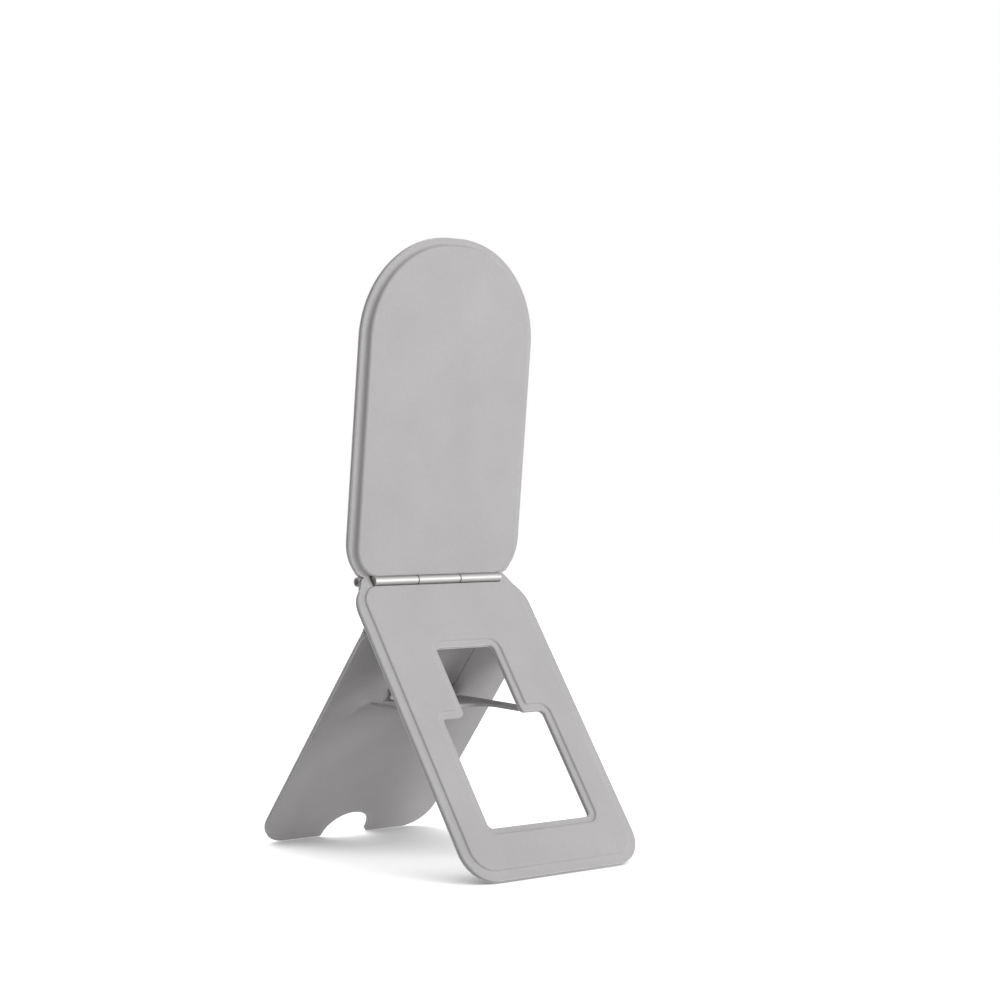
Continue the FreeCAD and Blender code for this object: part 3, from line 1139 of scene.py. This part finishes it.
@dataclass
class StrutPlate:
    """Thin covered plate between the legs, with two prongs."""

    half_width: float = 17.7
    setback: float = 1.12
    length: float = 33.7
    cut_half: float = 12.4
    cut_depth: float = 15.0
    cut_radius: float = 4.0
    corner_radius: float = 1.5
    underside: float = -0.15
    thickness: float = 1.1
    rim_round: float = 0.3
    rim_steps: int = 4

    def outline(self) -> list[Corner]:
        """Outline of the strut."""
        return mirrored([(self.half_width, self.setback, self.corner_radius),
                         (self.half_width, self.length, self.corner_radius),
                         (self.cut_half, self.length, self.corner_radius),
                         (self.cut_half, self.length - self.cut_depth, self.cut_radius)])

    def build(self) -> None:
        """Make the strut's cover and put it in place."""
        plate = prism("strut_cover", self.outline(), 0, self.thickness)
        round_edges(plate, self.rim_round, self.rim_steps, lambda co: True)
        smooth(plate)
        carry(plate, STANCE.strut().matrix(self.underside, True), Body.STRUT,
              "strut_upper_skin", "strut_lower_skin")


# Folds


@dataclass
class HingeWrap:
    """Skin across the barrel hinge: a web at each end of the barrel, and a roll and a bead behind it."""

    head: HeadPanel
    leg: FrontLegPanel
    slot_half: float = 23.8
    web_faces: int = 6
    roll_faces: int = 24
    roll_swell: float = 0.35
    roll_spread: float = 0.17
    notch_soft: float = 0.12
    steps: int = 28
    bend_share: float = 0.85
    bead_radius: float = 1.35
    bead_facets: int = 40
    bead_wall: float = 0.5
    bead_depth: float = 1.2
    bead_half: float = 27.4
    bead_lip: float = 0.01
    bead_lip_steps: int = 3
    bead_reach: float = 3.1
    bead_angle: float = -4.0

    def path(self, depth: float) -> list[Point]:
        """Line from the leg up to the head, at a depth behind the flanges' outer faces.

        Args:
            depth: Distance behind the faces, in millimetres.

        Returns:
            Points as world y and z, in millimetres.
        """
        leg = STANCE.front_leg()
        turn = math.radians(STANCE.head_lean + STANCE.front_lean)
        head_face = -self.head.seam - self.head.skin
        leg_face = self.leg.seam - self.leg.skin
        meets_head = (head_face * math.cos(turn) - leg_face) / math.sin(turn)
        meets_leg = (leg_face * math.cos(turn) - head_face) / math.sin(turn)
        reach = self.head.trim - meets_head
        radius = reach / math.tan(turn / 2)
        start = meets_leg + reach
        points = []
        flat_steps = self.steps // 3
        for i in range(flat_steps):
            along = self.leg.trim + (start - self.leg.trim) * i / flat_steps
            points.append(leg.point(along, leg_face + depth))
        centre = leg.point(start, leg_face - radius)
        for i in range(self.steps - flat_steps + 1):
            angle = math.radians(leg.angle + 90) + turn * i / (self.steps - flat_steps)
            out = radius + depth
            points.append((centre[0] + out * math.cos(angle), centre[1] + out * math.sin(angle)))
        return points

    def edge(self, along: float) -> float:
        """Half width of the neck.

        Args:
            along: Share of the way from the leg to the head.

        Returns:
            The half width in millimetres.
        """
        panel = self.leg if along < 0.5 else self.head
        distance = math.hypot(2 * along - 1, self.notch_soft) - self.notch_soft
        share = distance / (math.hypot(1, self.notch_soft) - self.notch_soft)
        return panel.side_at(panel.neck_gap + (panel.trim - panel.neck_gap) * min(share, 1))

    def swelling(self, across: float, along: float) -> float:
        """Height of the roll off its path, which swells in the middle of its bend."""
        return -self.roll_swell * math.exp(-((along - 0.5) / self.roll_spread) ** 2)

    def build(self) -> None:
        """Make the webs, the roll and the bead."""
        reach = self.bend_share * self.head.trim
        start = STANCE.front_leg().world(reach, 0)
        end = STANCE.head().world(reach, 0)
        skin = self.head.skin
        for side, name in ((-1, "left"), (1, "right")):
            web = ribbon("hinge_web_" + name, self.path(skin / 2),
                         lambda along: tuple(sorted((side * self.slot_half, side * self.edge(along)))),
                         self.web_faces, skin)
            bend(web, Body.FRONT_LEG, Body.HEAD, start, end)
        roll = ribbon("hinge_roll", self.path(1.5 * skin),
                      lambda along: (-self.edge(along), self.edge(along)),
                      self.roll_faces, skin, self.swelling)
        bend(roll, Body.FRONT_LEG, Body.HEAD, start, end, "hinge_skin")
        self.bead()

    def bead(self) -> None:
        """Make the rolled edge behind the barrel, which ends in a small open tube on each side."""
        bpy.ops.mesh.primitive_cylinder_add(vertices=self.bead_facets, radius=self.bead_radius * MM,
                                            depth=2 * self.bead_half * MM)
        tube = named("hinge_bead")
        end = (self.bead_half - self.bead_lip) * MM
        with editing(tube, "FACE"):
            for side in (-1, 1):
                select_faces(tube, lambda co: co.z * side > end)
                bpy.ops.mesh.inset(thickness=self.bead_wall * MM)
                bpy.ops.mesh.extrude_region_move(
                    TRANSFORM_OT_translate={"value": (0, 0, -side * self.bead_depth * MM)})
            face_outwards()
        round_edges(tube, self.bead_wall / 3, self.bead_lip_steps, lambda co: abs(co.z) > end)
        smooth(tube)
        y, z = STANCE.pivot("head_tilt")
        angle = math.radians(self.bead_angle)
        place = Vector((0, y + self.bead_reach * math.cos(angle), z + self.bead_reach * math.sin(angle))) * MM
        put(tube, Matrix.Translation(place) @ Matrix.Rotation(math.pi / 2, 4, "Y"))
        far = self.leg.half_width
        bend(tube, Body.FRONT_LEG, Body.HEAD, STANCE.front_leg().world(far, 0), STANCE.head().world(far, 0))


@dataclass
class LegFold:
    """Skin bonded to the front leg's inner face, which bends over into the rear leg's outer face."""

    front: FrontLegPanel
    rear: RearLegPanel
    top: float = 6.0
    inset: float = 1.2
    bend_reach: float = 3.2
    overlap: float = 2.6
    corner: float = 3.0
    fold_position: float = 15.8
    bonded_steps: int = 8
    bend_steps: int = 18
    faces: int = 24

    def build(self) -> None:
        """Make the fold."""
        front, rear = STANCE.front_leg(), STANCE.rear_leg()
        skin = self.front.skin
        bonded = self.front.seam + 1.5 * skin
        laid = self.rear.seam + 1.5 * skin
        leaving = self.fold_position - self.bend_reach
        first, leaves = front.point(self.top, bonded), front.point(leaving, bonded)
        lands, last = rear.point(self.bend_reach, laid), rear.point(self.bend_reach + self.overlap, laid)
        middle = crossing(leaves, front.angle, lands, rear.angle)
        run = straight(first, leaves, self.bonded_steps)
        path = run + curve_between(leaves, middle, lands, self.bend_steps) + [last]
        half = self.front.half_width - self.inset
        total = len(path) - 1

        def sides(along: float) -> Span:
            """Left and right edge, rounded at the bonded end.

            Args:
                along: Share of the path's length.

            Returns:
                Both edges.
            """
            depth = min(along * total / self.bonded_steps * (leaving - self.top), self.corner)
            cut = self.corner - math.sqrt(self.corner ** 2 - (self.corner - depth) ** 2)
            return -half + cut, half - cut

        fold = ribbon("leg_fold_cover", path, sides, self.faces, skin)
        bend(fold, Body.FRONT_LEG, Body.REAR_LEG, front.world(leaving, 0), rear.world(self.bend_reach, 0),
             "fold_flap")


@dataclass
class StrutFold:
    """Strap in the rear leg's recess, and the soft crease where it turns into the strut."""

    strut: StrutPlate
    rear: RearLegPanel
    half_width: float = 12.2
    top: float = 2.0
    low: float = 25.09
    lands: float = 2.9
    tail: float = 5.0
    taper: float = 1.9
    taper_from: float = 0.58
    taper_over: float = 0.1
    thickness: float = 0.4
    wrinkle: float = 0.15
    waves: tuple[Wave, ...] = ((1.0, 10.0, 6.0, 0.0), (0.7, 23.0, -11.0, 1.0))
    gather_from: float = 0.25
    gather_power: float = 1.3
    fade: float = 6.0
    gutter: float = 0.22
    gutter_share: float = 0.15
    step: float = 0.02
    rows: int = 34
    turn_steps: int = 15
    faces: int = 40

    def creased(self, across: float, along: float) -> float:
        """Shallow wrinkles that gather towards the strut, and a gutter along both edges.

        Args:
            across: Share of the way across the strap.
            along: Share of the way along it.

        Returns:
            Height off the strap's path in millimetres.
        """
        gather = max(0.0, (along - self.gather_from) / (1 - self.gather_from)) ** self.gather_power
        gather *= min(1.0, self.fade * (1 - along))
        fan = sum(size * math.sin(a * across + b * along + c) for size, a, b, c in self.waves)
        inside = min(across, 1 - across, self.gutter_share) / self.gutter_share
        return self.wrinkle * gather * fan * inside - self.gutter * (1 - inside) * (1 - along)

    def sides(self, along: float) -> Span:
        """Left and right edge, drawn in at the crease."""
        half = self.half_width - self.taper * min(max(along - self.taper_from, 0.0) / self.taper_over, 1.0)
        return -half, half

    def build(self) -> None:
        """Make the strap with its crease."""
        rear, strut = STANCE.rear_leg(), STANCE.strut()
        lies = self.rear.seam - self.rear.skin + self.rear.recess_depth - self.thickness
        above = self.strut.underside - self.strut.thickness - self.thickness / 2
        first, leaves = rear.point(self.top, lies), rear.point(self.low, lies)
        lands, last = strut.point(self.lands, above), strut.point(self.lands + self.tail, above)
        middle = crossing(leaves, rear.angle, lands, strut.angle)
        turn = curve_between(leaves, middle, lands, self.turn_steps)
        path = straight(first, leaves, self.rows) + turn + [last]
        strap = ribbon("strut_strap_cover", path, self.sides, self.faces, self.thickness, self.creased)
        before, after = turn[self.turn_steps // 2], turn[self.turn_steps // 2 + 1]
        crease = Vector((0, (before[0] + after[0]) / 2, (before[1] + after[1]) / 2)) * MM
        heading = (rear.world(1, 0) - rear.world(0, 0) + strut.world(1, 0) - strut.world(0, 0)) * self.step
        bend(strap, Body.REAR_LEG, Body.STRUT, crease - heading, crease + heading, "strut_strap")


# Inside and metal


@dataclass(frozen=True)
class Inside:
    """Finishes of the CAD nodes that stay as they are."""

    finishes: dict[str, Finish] = field(default_factory=lambda: {
        "head_hinge_leaf": SATIN_STEEL, "leg_hinge_leaf": SATIN_STEEL, "hinge_pin": SATIN_STEEL,
        "magnet_ring": NICKEL, "alignment_magnet": NICKEL, "strut_magnets": NICKEL,
        "shield_ring": ROLLED_STEEL, "catch_plates": ROLLED_STEEL, "magnet_carrier": CARRIER,
        "front_leg_board": BOARD, "rear_leg_board": BOARD, "strut_board": BOARD,
    })

    def build(self) -> None:
        """Dress every CAD node, those that a cover hides among them."""
        for name, node in frame["nodes"].items():
            dress(node, self.finishes.get(name, SKIN))
            log.info("%s dressed", name)


# Studio


@dataclass(frozen=True)
class Lamp:
    """Soft square lamp that looks at the object."""

    name: str
    place: Place
    size: float
    power: float
    aim: Place = (0.0, 0.0, 0.08)

    def hang(self) -> None:
        """Hang the lamp in its place."""
        data = bpy.data.lights.new(self.name, "AREA")
        data.shape = "SQUARE"
        data.size = self.size
        data.energy = self.power
        lamp = bpy.data.objects.new(self.name, data)
        bpy.context.scene.collection.objects.link(lamp)
        lamp.location = self.place
        looks = Vector(self.aim) - Vector(self.place)
        lamp.rotation_euler = looks.to_track_quat("-Z", "Y").to_euler()


@dataclass
class Studio:
    """Pale floor, soft lamps and the camera at the photograph's angle."""

    image: float = 1000.0
    sensor: float = 36.0
    focal_pixels: float = 2315.9
    clip: Span = (0.05, 20.0)
    camera_at: Place = (-428.587, -520.593, 106.732)
    azimuth: float = -40.827
    elevation: float = 0.336
    roll: float = -0.065
    floor_size: float = 6.0
    paper: Colour = (0.8, 0.8, 0.8, 1.0)
    glow: float = 0.8
    shade_reach: float = 0.1
    shade_samples: int = 16
    shade_range: Span = (0.1, 0.75)
    world_light: float = 0.29
    lamps: tuple[Lamp, ...] = (
        Lamp("key", (0.55, -1.3, 0.45), 0.8, 11.9),
        Lamp("top", (0.3, -0.5, 1.2), 0.9, 2.7),
        Lamp("back", (0.5, 1.4, 0.7), 0.9, 9.0),
    )

    def camera(self) -> None:
        """Place the camera."""
        data = bpy.data.cameras.new("camera")
        data.sensor_width = self.sensor
        data.lens = self.focal_pixels * self.sensor / self.image
        data.clip_start, data.clip_end = self.clip
        camera = bpy.data.objects.new("camera", data)
        bpy.context.scene.collection.objects.link(camera)
        a, e = math.radians(self.azimuth), math.radians(self.elevation)
        back = Vector((math.sin(a) * math.cos(e), -math.cos(a) * math.cos(e), math.sin(e)))
        looks = (-back).to_track_quat("-Z", "Y").to_matrix().to_4x4()
        turn = looks @ Matrix.Rotation(math.radians(self.roll), 4, "Z")
        camera.matrix_world = Matrix.Translation(Vector(self.camera_at) * MM) @ turn
        bpy.context.scene.camera = camera

    def floor(self) -> None:
        """Make the pale floor, white to the eye; ambient occlusion dims its glow near the object, a painted
        shadow.
        """
        bpy.ops.mesh.primitive_plane_add(size=self.floor_size)
        floor = named("floor")
        made = bpy.data.materials.new("white floor")
        made.use_nodes = True
        made.node_tree.nodes.clear()
        wires = Wiring(made.node_tree)
        paper = wires.add("BsdfDiffuse", "BSDF", {"Color": self.paper})
        # Painted shadow: ambient occlusion dims the floor's glow near the object, on top of the real shadow
        # on its paper.
        shade = wires.add("AmbientOcclusion", "AO", {"Distance": self.shade_reach},
                          samples=self.shade_samples)
        bright = wires.add("MapRange", "Result", {
            "Value": shade, "From Min": self.shade_range[0], "From Max": self.shade_range[1],
            "To Max": self.glow})
        glow = wires.add("Emission", "Emission", {"Strength": bright})
        both = wires.add("AddShader", "Shader", {0: paper, 1: glow})
        mixed = wires.add("MixShader", "Shader", {"Fac": wires.seen(), 1: paper, 2: both})
        wires.feed(made.node_tree.nodes.new("ShaderNodeOutputMaterial"), {"Surface": mixed})
        floor.data.materials.append(made)

    def world(self) -> None:
        """White surroundings to the eye, with a plain level of light on the object."""
        world = bpy.data.worlds.new("studio")
        bpy.context.scene.world = world
        world.use_nodes = True
        wires = Wiring(world.node_tree)
        wires.feed(world.node_tree.nodes["Background"], {
            "Color": (1, 1, 1, 1), "Strength": wires.spread(wires.seen(), self.world_light, 1.0)})

    def build(self) -> None:
        """Set up the whole studio."""
        bpy.context.scene.view_settings.view_transform = "Standard"
        self.camera()
        self.floor()
        self.world()
        for lamp in self.lamps:
            lamp.hang()
        log.info("studio ready")


def main() -> None:
    """Build the covers, folds, metal and studio in order."""
    logging.basicConfig(level=logging.INFO, format="%(name)s: %(message)s")
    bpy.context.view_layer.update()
    head, front, rear, strut = HeadPanel(), FrontLegPanel(), RearLegPanel(), StrutPlate()
    folds = HingeWrap(head, front), LegFold(front, rear), StrutFold(strut, rear)
    for part in (Inside(), head, front, rear, strut, *folds, Studio()):
        part.build()


if __name__ == "__main__":
    main()
